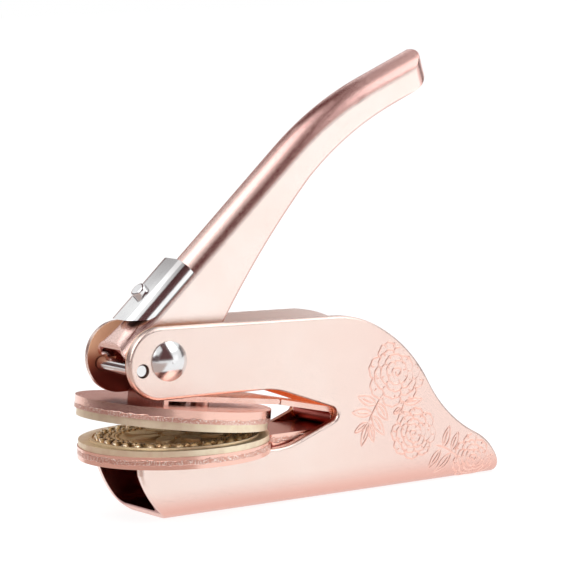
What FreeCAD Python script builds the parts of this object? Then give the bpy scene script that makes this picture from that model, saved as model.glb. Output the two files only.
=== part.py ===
import FreeCAD, Part
import math
import os
import types

import Sketcher

os.makedirs("parts", exist_ok=True)
doc = FreeCAD.newDocument("hand_seal_press")

# ---------------------------------------------------------------- driving values (mm, degrees)
# +Z up, the length along X (dies at -X, tail at +X), Y = 0 is the middle plane between the cheeks.
VALUES = [
    # bent sheet body: the side's outline, the sheet and its bends
    ("shell_w", 20.6), ("sheet_t", 2.0), ("bend_r", 4.0), ("roll_r", 0.8),
    ("lobe_x", -40.15), ("lobe_z", 35.5), ("lobe_r", 8.25),
    ("top_x", 7.16), ("top_z", 42.0), ("hump_x", 18.04), ("hump_z", 39.15),
    ("back_x", 33.2), ("back_z", 24.1), ("dip_x", 46.9), ("dip_z", 10.45), ("tail_x", 53.8),
    ("foot_x", -39.0), ("toe_x", -46.2), ("toe_z", 10.8), ("toe_r", 23.0), ("lip_x", -46.4),
    ("jaw_z", 13.1), ("jaw_x", -10.45), ("vee_x", -3.85), ("vee_z", 14.27),
    ("apex_x", 5.15), ("apex_z", 19.38), ("apex_r", 1.7), ("kink_x", -6.6), ("kink_z", 25.6), ("kink_l", 6.6),
    # pivot axle, its domed ends, the stop pin, the rest bar under the lower arm
    ("piv_x", -38.25), ("piv_z", 36.0), ("axle_r", 2.5), ("axle_gap", 0.05), ("snug", 0.02),
    ("dome_r", 4.5), ("dome_h", 2.1), ("dome_rim", 0.3), ("cap_grip", 1.0),
    ("stop_x", -45.0), ("stop_z", 34.4), ("stop_r", 1.6), ("stop_sink", 0.7), ("stop_bevel", 0.25),
    ("bar_h", 3.2), ("bar_l", 7.0), ("bar_back", 4.0),
    # sleeve, presser pin and roller
    ("sleeve_t", 0.9), ("side_gap", 0.15),
    ("press_x", -30.45), ("press_z", 30.3), ("press_r", 3.1), ("press_pin_r", 1.5), ("press_gap", 0.06),
    ("press_pin_in", 0.6), ("press_bevel", 0.3),
    # handle, in its own frame: s along the crest, n square to it
    ("crest_x", -47.55), ("crest_z", 40.4), ("crest_a", 41.5),
    ("grip_w", 8.6), ("mouth_w", 12.0), ("mouth_l", 9.0), ("hand_t", 1.4), ("crest_r", 4.1),
    ("bend_s", 62.0), ("bow_r", 83.0), ("droop_a", 19.2),
    ("tip_s", 105.4), ("tip_h", 1.5), ("tip_lean", 7.8), ("tip_round", 1.6),
    ("heel_s", 95.3), ("heel_n", -15.5), ("heel_r", 8.2), ("palm_s", 88.7), ("palm_n", -13.3),
    ("waist_s", 61.4), ("waist_n", -9.4), ("waist_r", 210.0), ("skirt_x", -19.75), ("skirt_z", 43.0),
    ("boss_r", 5.0), ("boss_low_a", -114.0), ("boss_front_a", -183.0),
    ("press_boss_r", 2.6), ("press_back_a", 10.0), ("press_low_a", -112.0),
    ("stop_gap", 0.12), ("hood_l", 0.7), ("hood_h", 0.9), ("brow_s", -1.6), ("brow_n", -3.4), ("brow_r", 6.0),
    ("ahead", 8.0), ("deep", 45.0),
    # lock clip with its button, slider and washer
    ("clip_w", 10.2), ("clip_t", 0.65), ("clip_n", 1.8), ("clip_low", -2.5), ("clip_r", 3.2),
    ("clip_s", 5.0), ("clip_end", 24.1), ("nose_l", 3.7), ("nose_h", 3.4), ("flange_l", 5.8),
    ("button_s", 13.2), ("button_r", 1.9), ("button_h", 1.55), ("button_round", 0.6),
    ("clip_travel", 5.5), ("shank_r", 1.0), ("shank_low", -3.6), ("slot_gap", 0.3), ("slot_deep", 6.0),
    ("slider_n", 0.3), ("slider_front", 3.2), ("slider_back", 7.0), ("slider_y", 1.7),
    ("washer_r", 2.2), ("washer_t", 0.5), ("washer_n", -3.5),
    # die insert, lower half
    ("disc_x", -31.45), ("disc_r", 22.0), ("disc_t", 2.8), ("die_in", 0.25), ("die_t", 1.35),
    ("arm_w", 15.2), ("arm_end", 15.5), ("neck_r", 3.0),
    ("screw_r", 1.5), ("screw_gap", 0.05), ("screw_head_r", 3.0), ("seat_gap", 0.1), ("screw_head_h", 1.2),
    ("drive_w", 0.7), ("drive_h", 0.6), ("thread_h", 1.2),
    ("rivet_r", 1.3), ("rivet_back", 2.6), ("rivet_y", 4.4),
    ("rivet_head_r", 2.3), ("rivet_head_h", 1.0), ("rivet_round", 0.7),
    # raised design of the lower die
    ("field_r", 19.4), ("relief_h", 0.6), ("ring_h", 0.36), ("rim_w", 0.8), ("band_w", 5.2), ("bead_w", 0.6),
    ("centre_r", 2.6), ("petal_in", 3.6), ("petal_out", 11.6), ("petal_r", 5.0), ("petals", 8),
    # die insert, upper half and its spring strip
    ("up_x", -31.6), ("up_z", 22.36), ("tilt", 7.5), ("updisc_more", 0.35), ("updie_in", 0.55), ("updie_t", 1.76),
    ("recess_more", 1.0), ("recess_h", 0.95), ("thread_free", 0.6),
    ("strip_w", 16.0), ("strip_t", 1.2), ("stand_off", 0.7), ("strip_front", -7.4), ("strip_round", 0.5),
    ("flex_s", 23.11), ("flex_gap", 0.3), ("root_a", 13.0), ("root_l", 14.2), ("bend_in", 1.0),
    ("disc_rivet_s", 4.0), ("disc_rivet_y", 5.0), ("collar_r", 2.1),
    ("port_s", 8.6), ("port_l", 3.4), ("port_y", 6.3), ("port_r", 0.85),
    # length of a cut that goes right through the part
    ("through", 200.0),
]

sheet = doc.addObject("Spreadsheet::Sheet", "Sheet")
for i, (key, value) in enumerate(VALUES):
    sheet.set("A%d" % (i + 1), key)
    sheet.set("B%d" % (i + 1), repr(value))
    sheet.setAlias("B%d" % (i + 1), key)
doc.recompute()


class Driven:
    """A number that also carries the expression it came from, so that every value stays driven."""

    def __init__(self, v, t=None):
        self.v = float(v)
        self.t = t if t is not None else "(%r)" % float(v)

    def __add__(self, o):
        return join(self, o, "+", lambda a, b: a + b)

    def __radd__(self, o):
        return join(o, self, "+", lambda a, b: a + b)

    def __sub__(self, o):
        return join(self, o, "-", lambda a, b: a - b)

    def __rsub__(self, o):
        return join(o, self, "-", lambda a, b: a - b)

    def __mul__(self, o):
        return join(self, o, "*", lambda a, b: a * b)

    def __rmul__(self, o):
        return join(o, self, "*", lambda a, b: a * b)

    def __truediv__(self, o):
        return join(self, o, "/", lambda a, b: a / b)

    def __neg__(self):
        return Driven(0) - self


def join(a, b, sign, work):
    a = a if isinstance(a, Driven) else Driven(a)
    b = b if isinstance(b, Driven) else Driven(b)
    return Driven(work(a.v, b.v), "(%s %s %s)" % (a.t, sign, b.t))


def cosd(a):
    return Driven(math.cos(math.radians(a.v)), "cos(%s * 1 deg)" % a.t)


def sind(a):
    return Driven(math.sin(math.radians(a.v)), "sin(%s * 1 deg)" % a.t)


def root2(a):
    return Driven(math.sqrt(a.v), "sqrt(%s)" % a.t)


size = types.SimpleNamespace(**{key: Driven(sheet.get(key), "Sheet.%s" % key) for key, _ in VALUES})


def bind(obj, prop, e):
    obj.setExpression(prop, (e if isinstance(e, Driven) else Driven(e)).t)


def vec(x, y):
    return FreeCAD.Vector(x, y, 0)


def line(end, keep="xy", smooth=False):
    """A straight run to end. keep says which of the end's coordinates are held; smooth: tangent to
    the run before."""
    return {"end": end, "keep": keep, "smooth": smooth, "side": 0, "r": None, "c": None}


def arc(end, side=0, r=None, c=None, keep="xy", smooth=False):
    """An arc to end, turning left (side 1) or right (-1), with a held radius, a held centre or both,
    or with neither when it is tangent to the run before."""
    return {"end": end, "keep": keep, "smooth": smooth, "side": side, "r": r, "c": c, "arc": True}


def arc_centre(a, b, seg, heading):
    ax, ay, bx, by = a[0].v, a[1].v, b[0].v, b[1].v
    if seg["c"] is not None:
        return seg["c"][0].v, seg["c"][1].v, seg["side"]
    dx, dy = bx - ax, by - ay
    chord = math.hypot(dx, dy)
    if seg["r"] is None:
        half_turn = math.remainder(math.atan2(dy, dx) - heading, 2 * math.pi)
        radius = chord / 2 / math.sin(half_turn)
        return ax - math.sin(heading) * radius, ay + math.cos(heading) * radius, 1 if radius > 0 else -1
    side = seg["side"]
    h = math.sqrt(max(seg["r"].v ** 2 - chord * chord / 4, 0.0))
    return (ax + bx) / 2 - side * dy / chord * h, (ay + by) / 2 + side * dx / chord * h, side


def outline(sk, start, segs):
    """A closed profile of lines and arcs whose vertices are held by expressions."""
    up = FreeCAD.Vector(0, 0, 1)
    first = sk.GeometryCount
    ends = []
    a = start
    heading = 0.0
    for seg in segs:
        b = seg["end"]
        if "arc" not in seg:
            sk.addGeometry(Part.LineSegment(vec(a[0].v, a[1].v), vec(b[0].v, b[1].v)), False)
            ends.append((1, 2))
            heading = math.atan2(b[1].v - a[1].v, b[0].v - a[0].v)
        else:
            cx, cy, side = arc_centre(a, b, seg, heading)
            radius = math.hypot(a[0].v - cx, a[1].v - cy)
            t0 = math.atan2(a[1].v - cy, a[0].v - cx)
            t1 = math.atan2(b[1].v - cy, b[0].v - cx)
            span = (t0, t1) if side > 0 else (t1, t0)
            sk.addGeometry(Part.ArcOfCircle(Part.Circle(vec(cx, cy), up, radius), span[0], span[1]), False)
            ends.append((1, 2) if side > 0 else (2, 1))
            heading = t1 + side * math.pi / 2
        a = b
    for i, seg in enumerate(segs):
        kind = "Tangent" if seg["smooth"] else "Coincident"
        before = (i - 1) % len(segs)
        sk.addConstraint(Sketcher.Constraint(kind, first + before, ends[before][1], first + i, ends[i][0]))

    def hold(e, *what):
        k = sk.addConstraint(Sketcher.Constraint(*what, e.v))
        sk.setExpression("Constraints[%d]" % k, e.t)

    for i, seg in enumerate(segs):
        g = first + i
        if "x" in seg["keep"]:
            hold(seg["end"][0], "DistanceX", g, ends[i][1])
        if "y" in seg["keep"]:
            hold(seg["end"][1], "DistanceY", g, ends[i][1])
        if seg["r"] is not None:
            hold(seg["r"], "Radius", g)
        if seg["c"] is not None:
            hold(seg["c"][0], "DistanceX", g, 3)
            hold(seg["c"][1], "DistanceY", g, 3)


def circle(sk, x, y, r):
    g = sk.GeometryCount
    sk.addGeometry(Part.Circle(vec(x.v, y.v), FreeCAD.Vector(0, 0, 1), r.v), False)
    for kind, e in (("DistanceX", x), ("DistanceY", y)):
        k = sk.addConstraint(Sketcher.Constraint(kind, g, 3, e.v))
        sk.setExpression("Constraints[%d]" % k, e.t)
    k = sk.addConstraint(Sketcher.Constraint("Radius", g, r.v))
    sk.setExpression("Constraints[%d]" % k, r.t)


PLANE = {"XY": 3, "XZ": 4, "YZ": 5}


def sketch(body, name, plane, off=None):
    sk = body.newObject("Sketcher::SketchObject", name)
    sk.AttachmentSupport = [(body.Origin.OriginFeatures[PLANE[plane]], "")]
    sk.MapMode = "FlatFace"
    if off is not None:
        bind(sk, "AttachmentOffset.Base.z", off)
    return sk


def pad(body, name, sk, length, both=True, down=False):
    p = body.newObject("PartDesign::Pad", name)
    p.Profile = sk
    if both:
        p.SideType = "Symmetric"
    p.Reversed = down
    bind(p, "Length", length)
    sk.Visibility = False
    doc.recompute()
    return p


def pocket(body, name, sk, length=None, both=True, down=False):
    p = body.newObject("PartDesign::Pocket", name)
    p.Profile = sk
    if both:
        p.SideType = "Symmetric"
    p.Reversed = down
    if length is None:
        p.Type = 1
    else:
        bind(p, "Length", length)
    sk.Visibility = False
    doc.recompute()
    return p


def edges(shape, test):
    return ["Edge%d" % (i + 1) for i, e in enumerate(shape.Edges) if test(e)]


def fillet(body, name, base, test, r):
    f = body.newObject("PartDesign::Fillet", name)
    f.Base = (base, edges(base.Shape, test))
    bind(f, "Radius", r)
    doc.recompute()
    return f


def body(name, px=None, pz=None, ang=None):
    b = doc.addObject("PartDesign::Body", name)
    b.Label = name
    if px is not None:
        b.Placement = FreeCAD.Placement(FreeCAD.Vector(px.v, 0, pz.v),
                                        FreeCAD.Rotation(FreeCAD.Vector(0, 1, 0), ang.v))
        bind(b, "Placement.Base.x", px)
        bind(b, "Placement.Base.z", pz)
        bind(b, "Placement.Rotation.Angle", ang)
    return b


def rect(sk, x0, y0, x1, y1):
    outline(sk, (x0, y0), [line((x1, y0)), line((x1, y1)), line((x0, y1)), line((x0, y0))])


def near(a, b, tol=1e-3):
    return abs(a - b) < tol


Z0 = Driven(0)

# ---------------------------------------------------------------- body_shell: one bent sheet, two cheeks and a floor
shell = body("body_shell")
half = size.shell_w / 2
lobe = (size.lobe_x, size.lobe_z)
s = sketch(shell, "shell_side", "XZ")
outline(s, (size.lobe_x, size.lobe_z + size.lobe_r), [
    line((size.top_x, size.top_z), smooth=True),
    arc((size.hump_x, size.hump_z), smooth=True),
    arc((size.back_x, size.back_z), smooth=True),
    arc((size.dip_x, size.dip_z), smooth=True),
    arc((size.tail_x, Z0), smooth=True),
    line((size.foot_x, Z0)),
    arc((size.toe_x, size.toe_z), -1, r=size.toe_r),
    line((size.lip_x, size.jaw_z)),
    line((size.jaw_x, size.jaw_z)),
    arc((size.vee_x, size.vee_z), smooth=True),
    line((size.apex_x, size.apex_z - size.apex_r), keep="", smooth=True),
    arc((size.apex_x, size.apex_z + size.apex_r), 1, c=(size.apex_x, size.apex_z), keep="", smooth=True),
    line((size.kink_x, size.kink_z), smooth=True),
    arc((size.kink_x - size.kink_l, size.kink_z), keep="x", smooth=True),
    line((size.lobe_x, size.lobe_z - size.lobe_r), keep="", smooth=True),
    arc((size.lobe_x, size.lobe_z + size.lobe_r), -1, r=size.lobe_r, c=lobe, keep="", smooth=True),
])
p = pad(shell, "shell_block", s, size.shell_w)
s = sketch(shell, "bend_corners", "YZ")
for side in (-1, 1):
    flat = (half - size.bend_r) * side
    out = half * 2 * side
    outline(s, (half * side, size.bend_r), [
        arc((flat, Z0), -side, c=(flat, size.bend_r), keep="x"),
        line((flat, -size.sheet_t)),
        line((out, -size.sheet_t)),
        line((out, size.bend_r)),
        line((half * side, size.bend_r)),
    ])
p = pocket(shell, "shell_bends", s, size.through)
s = sketch(shell, "channel_section", "YZ")
ci = half - size.sheet_t
ri = size.bend_r - size.sheet_t
above = size.top_z * 2
outline(s, (-ci, above), [
    line((-ci, size.bend_r)),
    arc((ri - ci, size.sheet_t), 1, c=(ri - ci, size.bend_r), keep="x"),
    line((ci - ri, size.sheet_t)),
    arc((ci, size.bend_r), 1, c=(ci - ri, size.bend_r), keep="y"),
    line((ci, above)),
    line((-ci, above)),
])
p = pocket(shell, "channel", s, size.through)
s = sketch(shell, "cheek_holes", "XZ")
circle(s, size.piv_x, size.piv_z, size.axle_r + size.snug)
circle(s, size.stop_x, size.stop_z, size.stop_r + size.snug)
p = pocket(shell, "cheek_bores", s, size.through)


def on_skin(q):
    """True where a point lies on the outside of the bent sheet."""
    w = half.v - size.bend_r.v
    if q.z > size.bend_r.v - 1e-4:
        return near(abs(q.y), half.v)
    if abs(q.y) < w + 1e-4:
        return near(q.z, 0)
    return near(math.hypot(abs(q.y) - w, q.z - size.bend_r.v), size.bend_r.v)


def stamped_edge(e):
    length = e.LastParameter - e.FirstParameter
    pts = [e.valueAt(e.FirstParameter + length * k) for k in (0.03, 0.5, 0.97)]
    if e.Closed or not all(on_skin(q) for q in pts):
        return False
    bb = e.BoundBox
    along_bend = near(bb.ZLength, 0) and near(bb.YLength, 0) and bb.ZMax < size.bend_r.v + 1e-3
    across_floor_line = near(bb.YLength, 0) and bb.ZMax < 1e-3
    return not (along_bend or across_floor_line)


fillet(shell, "stamped_roll", p, stamped_edge, size.roll_r)

# ---------------------------------------------------------------- pivot axle, its cap, the stop pin, the rest bar


def revolve(b, name, sk):
    r = b.newObject("PartDesign::Revolution", name)
    r.Profile = sk
    r.ReferenceAxis = (sk, ["V_Axis"])
    r.Angle = 360
    sk.Visibility = False
    doc.recompute()
    return r


def turned(name, x, z):
    """A body whose local XY plane stands up so that local Y runs along the world's Y."""
    b = doc.addObject("PartDesign::Body", name)
    b.Label = name
    bind(b, "Placement.Base.x", x)
    bind(b, "Placement.Base.z", z)
    doc.recompute()
    return b


axle = turned("pivot_axle", size.piv_x, size.piv_z)
s = sketch(axle, "axle_half", "XY")
dome_rise = size.dome_h - size.dome_rim
dome_curve = (size.dome_r * size.dome_r + dome_rise * dome_rise) / (dome_rise * 2)
cap_y = half + size.cap_grip
outline(s, (Z0, -half - size.dome_h), [
    arc((size.dome_r, -half - size.dome_rim), 1, r=dome_curve),
    line((size.dome_r, -half)),
    line((size.axle_r, -half)),
    line((size.axle_r, cap_y)),
    line((Z0, cap_y)),
    line((Z0, -half - size.dome_h)),
])
revolve(axle, "axle_turned", s)

cap = turned("pivot_cap", size.piv_x, size.piv_z)
s = sketch(cap, "cap_half", "XY")
outline(s, (Z0, cap_y), [
    line((size.axle_r, cap_y)),
    line((size.axle_r, half)),
    line((size.dome_r, half)),
    line((size.dome_r, half + size.dome_rim)),
    arc((Z0, half + size.dome_h), 1, r=dome_curve),
    line((Z0, cap_y)),
])
revolve(cap, "cap_turned", s)

stop = turned("stop_pin", size.stop_x, size.stop_z)
s = sketch(stop, "stop_half", "XY")
stop_y = half - size.stop_sink
bevel = size.stop_bevel
outline(s, (Z0, -stop_y), [
    line((size.stop_r - bevel, -stop_y)),
    line((size.stop_r, bevel - stop_y)),
    line((size.stop_r, stop_y - bevel)),
    line((size.stop_r - bevel, stop_y)),
    line((Z0, stop_y)),
    line((Z0, -stop_y)),
])
revolve(stop, "stop_turned", s)

bar = body("rest_bar")
s = sketch(bar, "bar_side", "XZ")
bar_x = size.arm_end - size.bar_back
rect(s, bar_x - size.bar_l, size.jaw_z - size.bar_h, bar_x, size.jaw_z)
p = pad(bar, "bar_block", s, ci * 2)

# ---------------------------------------------------------------- lower half of the die insert
low = body("lower_holder")
s = sketch(low, "low_disc", "XY", size.jaw_z)
circle(s, size.disc_x, Z0, size.disc_r)
p = pad(low, "low_plate", s, size.disc_t, both=False)
s = sketch(low, "low_arm", "XY", size.jaw_z)
rect(s, size.disc_x, -size.arm_w / 2, size.arm_end, size.arm_w / 2)
p = pad(low, "low_bar", s, size.disc_t, both=False)
p = fillet(low, "low_neck", p,
           lambda e: near(abs(e.BoundBox.YMin), size.arm_w.v / 2) and near(e.BoundBox.YMin, e.BoundBox.YMax)
           and e.BoundBox.ZLength > size.disc_t.v / 2 and e.BoundBox.XMax < 0, size.neck_r)
s = sketch(low, "low_screw_hole", "XY", size.jaw_z)
circle(s, size.disc_x, Z0, size.screw_r + size.screw_gap)
p = pocket(low, "low_screw_bore", s, size.through, both=False, down=True)
s = sketch(low, "low_screw_seat", "XY", size.jaw_z)
circle(s, size.disc_x, Z0, size.screw_head_r + size.seat_gap)
p = pocket(low, "low_screw_face", s, size.screw_head_h, both=False, down=True)
s = sketch(low, "low_rivet_holes", "XY", size.jaw_z)
rivet_x = size.arm_end - size.rivet_back
for side in (-1, 1):
    circle(s, rivet_x, size.rivet_y * side, size.rivet_r)
p = pocket(low, "low_rivet_bores", s, size.through, both=False, down=True)

# lower die: a brass plate with a raised design of rings, a centre boss and petals
plate_z = size.jaw_z + size.disc_t
face_z = plate_z + size.die_t
die = body("lower_die")
s = sketch(die, "die_blank", "XY", plate_z)
circle(s, size.disc_x, Z0, size.disc_r - size.die_in)
p = pad(die, "die_plate", s, size.die_t, both=False)
s = sketch(die, "die_rings", "XY", face_z)
inner_ring = size.field_r - size.band_w
for ring in (size.field_r, size.field_r - size.rim_w, inner_ring, inner_ring - size.bead_w):
    circle(s, size.disc_x, Z0, ring)
p = pad(die, "die_ring_relief", s, size.ring_h, both=False)
s = sketch(die, "die_centre", "XY", face_z)
circle(s, size.disc_x, Z0, size.centre_r)
p = pad(die, "die_boss", s, size.relief_h, both=False)
s = sketch(die, "die_petal", "XY", face_z)
bind(s, "AttachmentOffset.Base.x", size.disc_x)
outline(s, (size.petal_in, Z0), [
    arc((size.petal_out, Z0), 1, r=size.petal_r),
    arc((size.petal_in, Z0), 1, r=size.petal_r),
])
petal = pad(die, "die_petal_relief", s, size.relief_h, both=False)
ring_of_petals = die.newObject("PartDesign::PolarPattern", "die_petals")
ring_of_petals.Originals = [petal]
ring_of_petals.Axis = (petal.Profile[0], ["N_Axis"])
ring_of_petals.Angle = 360
bind(ring_of_petals, "Occurrences", size.petals)
die.Tip = ring_of_petals
doc.recompute()
s = sketch(die, "die_thread", "XY", plate_z)
circle(s, size.disc_x, Z0, size.screw_r)
p = pocket(die, "die_thread_bore", s, size.thread_h, both=False, down=True)

screw = body("lower_die_screw")
s = sketch(screw, "screw_head", "XY", size.jaw_z)
circle(s, size.disc_x, Z0, size.screw_head_r)
p = pad(screw, "screw_head_pad", s, size.screw_head_h, both=False)
s = sketch(screw, "screw_shank", "XY", size.jaw_z)
circle(s, size.disc_x, Z0, size.screw_r)
p = pad(screw, "screw_shank_pad", s, size.disc_t + size.thread_h, both=False)
s = sketch(screw, "screw_slot", "XY", size.jaw_z)
rect(s, size.disc_x - size.screw_head_r, -size.drive_w / 2, size.disc_x + size.screw_head_r, size.drive_w / 2)
p = pocket(screw, "screw_slot_cut", s, size.drive_h, both=False, down=True)

# ---------------------------------------------------------------- spring strip, rear part: fixed to the lower arm
tilt_c, tilt_s = cosd(size.tilt), sind(size.tilt)
flex_n = size.disc_t + size.stand_off + size.strip_t / 2
flex_x = size.up_x + size.flex_s * tilt_c + flex_n * tilt_s
flex_z = size.up_z - size.flex_s * tilt_s + flex_n * tilt_c
root_c, root_s = cosd(size.root_a), sind(size.root_a)
half_strip = size.strip_t / 2


def on_strip(run, rise):
    """The point at run along the falling strip and rise square to it, from the flexing line."""
    return (flex_x + run * root_c + rise * root_s, flex_z - run * root_s + rise * root_c)


front_low = on_strip(half_strip + size.flex_gap, -half_strip)
front_high = on_strip(half_strip + size.flex_gap, half_strip)
rear_high = on_strip(size.root_l, half_strip)
rear_low = on_strip(size.root_l, -half_strip)
fold = on_strip(size.root_l, -half_strip - size.bend_in)
leg_x = fold[0] + size.bend_in
strip_z = plate_z + size.strip_t
foot = (leg_x + size.strip_t + size.bend_in, strip_z + size.bend_in)
root = body("arm_root")
s = sketch(root, "root_side", "XZ")
outline(s, front_low, [
    line(front_high),
    line(rear_high),
    arc((leg_x + size.strip_t, fold[1]), -1, c=fold, keep="y"),
    line((leg_x + size.strip_t, foot[1])),
    arc((foot[0], strip_z), 1, c=foot, keep="x"),
    line((size.arm_end, strip_z)),
    line((size.arm_end, plate_z)),
    line((foot[0], plate_z)),
    arc((leg_x, foot[1]), -1, c=foot, keep="y"),
    line((leg_x, fold[1])),
    arc(rear_low, 1, c=fold, keep="x"),
    line(front_low),
])
p = pad(root, "root_strip", s, size.strip_w)
s = sketch(root, "root_rivet_holes", "XY", plate_z)
for side in (-1, 1):
    circle(s, rivet_x, size.rivet_y * side, size.rivet_r)
p = pocket(root, "root_rivet_bores", s, size.strip_t, both=False, down=True)

for k, side in (("near", -1), ("far", 1)):
    b = body("foot_rivet_" + k)
    s = sketch(b, "shank_" + k, "XY", size.jaw_z)
    circle(s, rivet_x, size.rivet_y * side, size.rivet_r)
    p = pad(b, "shank_pad_" + k, s, size.disc_t + size.strip_t, both=False)
    s = sketch(b, "head_" + k, "XY", strip_z)
    circle(s, rivet_x, size.rivet_y * side, size.rivet_head_r)
    p = pad(b, "head_pad_" + k, s, size.rivet_head_h, both=False)
    crown_z = (strip_z + size.rivet_head_h).v
    p = fillet(b, "head_round_" + k, p, lambda e: e.Closed and near(e.BoundBox.ZMin, crown_z), size.rivet_round)

# ---------------------------------------------------------------- upper half of the insert, in the tilted plate's frame
U = (size.up_x, size.up_z, size.tilt)
ud = body("upper_disc", *U)
s = sketch(ud, "up_disc", "XY")
updisc_r = size.disc_r + size.updisc_more
circle(s, Z0, Z0, updisc_r)
p = pad(ud, "up_plate", s, size.disc_t, both=False)
s = sketch(ud, "up_holes", "XY")
circle(s, Z0, Z0, size.screw_r + size.screw_gap)
for side in (-1, 1):
    circle(s, size.disc_rivet_s, size.disc_rivet_y * side, size.rivet_r)
p = pocket(ud, "up_bores", s, size.through, both=False, down=True)
s = sketch(ud, "up_seat", "XY", size.disc_t)
circle(s, Z0, Z0, size.screw_head_r + size.seat_gap)
p = pocket(ud, "up_screw_face", s, size.screw_head_h, both=False)

udie = body("upper_die", *U)
s = sketch(udie, "updie_blank", "XY")
circle(s, Z0, Z0, updisc_r - size.updie_in)
p = pad(udie, "updie_plate", s, size.updie_t, both=False, down=True)
s = sketch(udie, "updie_field", "XY", -size.updie_t)
circle(s, Z0, Z0, size.field_r + size.recess_more)
p = pocket(udie, "updie_recess", s, size.recess_h, both=False, down=True)

us = body("upper_die_screw", *U)
s = sketch(us, "uscrew_head", "XY", size.disc_t)
circle(s, Z0, Z0, size.screw_head_r)
p = pad(us, "uscrew_head_pad", s, size.screw_head_h, both=False, down=True)
s = sketch(us, "uscrew_shank", "XY")
circle(s, Z0, Z0, size.screw_r)
p = pad(us, "uscrew_shank_pad", s, size.disc_t - size.thread_free, both=False)
s = sketch(us, "uscrew_slot", "XY", size.disc_t)
rect(s, -size.screw_head_r, -size.drive_w / 2, size.screw_head_r, size.drive_w / 2)
p = pocket(us, "uscrew_slot_cut", s, size.drive_h, both=False)

strip_n = size.disc_t + size.stand_off
strip_top = strip_n + size.strip_t
arm = body("upper_arm", *U)
s = sketch(arm, "arm_side", "XZ")
outline(s, (size.strip_front, size.disc_t), [
    line((size.strip_front + size.strip_t, size.disc_t)),
    line((size.strip_front + size.strip_t, strip_n)),
    line((size.flex_s, strip_n)),
    arc((size.flex_s, strip_top), 1, c=(size.flex_s, flex_n), keep="x"),
    line((size.strip_front + size.strip_round, strip_top)),
    arc((size.strip_front, strip_top - size.strip_round), 1, r=size.strip_round),
    line((size.strip_front, size.disc_t)),
])
p = pad(arm, "arm_strip", s, size.strip_w)
s = sketch(arm, "arm_holes", "XY", strip_n)
port_end = size.port_s + size.port_l
for side in (-1, 1):
    circle(s, size.disc_rivet_s, size.disc_rivet_y * side, size.rivet_r)
    port_y = size.port_y * side
    outline(s, (size.port_s, port_y - size.port_r), [
        line((port_end, port_y - size.port_r)),
        arc((port_end, port_y + size.port_r), 1, c=(port_end, port_y), keep="x"),
        line((size.port_s, port_y + size.port_r)),
        arc((size.port_s, port_y - size.port_r), 1, c=(size.port_s, port_y), keep="x"),
    ])
p = pocket(arm, "arm_bores", s, size.strip_t * 2, both=False, down=True)

for k, side in (("near", -1), ("far", 1)):
    b = body("disc_rivet_" + k, *U)
    s = sketch(b, "dshank_" + k, "XY")
    circle(s, size.disc_rivet_s, size.disc_rivet_y * side, size.rivet_r)
    p = pad(b, "dshank_pad_" + k, s, strip_top, both=False)
    s = sketch(b, "dcollar_" + k, "XY", size.disc_t)
    circle(s, size.disc_rivet_s, size.disc_rivet_y * side, size.collar_r)
    p = pad(b, "dcollar_pad_" + k, s, size.stand_off, both=False)

# ---------------------------------------------------------------- handle, in the crest's frame
H = (size.crest_x, size.crest_z, -size.crest_a)
crest_c, crest_s = cosd(size.crest_a), sind(size.crest_a)


def crest(x, z):
    """The point x, z of the part in the handle's own frame."""
    dx, dz = x - size.crest_x, z - size.crest_z
    return (dx * crest_c + dz * crest_s, dz * crest_c - dx * crest_s)


def around(centre, r, angle):
    """The point at radius r and angle round a centre of the part, in the handle's own frame."""
    return crest(centre[0] + r * cosd(angle), centre[1] + r * sind(angle))


PIVOT = (size.piv_x, size.piv_z)
PRESS = (size.press_x, size.press_z)
droop_c, droop_s = cosd(size.droop_a), sind(size.droop_a)
bow_end = (size.bend_s + size.bow_r * droop_s, size.bow_r * droop_c - size.bow_r)
tip = (size.tip_s, bow_end[1] - (size.tip_s - bow_end[0]) * droop_s / droop_c)
flare_h = (size.mouth_w - size.grip_w) / 2
flare_r = (size.mouth_l * size.mouth_l + flare_h * flare_h) / (flare_h * 2)
wide = size.mouth_w * 2


def crest_line(inset):
    """The crest's profile: a straight run, a drooping arc and a straight end that runs 1 mm past the
    tip, all moved inwards by inset."""
    return [
        line((size.bend_s, -inset)),
        arc((bow_end[0] - inset * droop_s, bow_end[1] - inset * droop_c), -1, c=(size.bend_s, -size.bow_r), keep="x"),
        line((tip[0] + droop_c - inset * droop_s, tip[1] - droop_s - inset * droop_c)),
    ]


def flanks(sk, inset, front):
    """The handle seen from above: parallel flanks and a flared mouth, moved inwards by inset."""
    g = size.grip_w / 2 - inset
    r = flare_r + inset
    mouth = g + r - root2(r * r - (size.mouth_l - front) * (size.mouth_l - front))
    end = size.tip_s + size.ahead
    outline(sk, (front, -mouth), [
        arc((size.mouth_l, -g), -1, c=(size.mouth_l, -(g + r)), keep="x"),
        line((end, -g)),
        line((end, g)),
        line((size.mouth_l, g)),
        arc((front, mouth), -1, c=(size.mouth_l, g + r), keep="x"),
        line((front, -mouth)),
    ])


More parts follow.
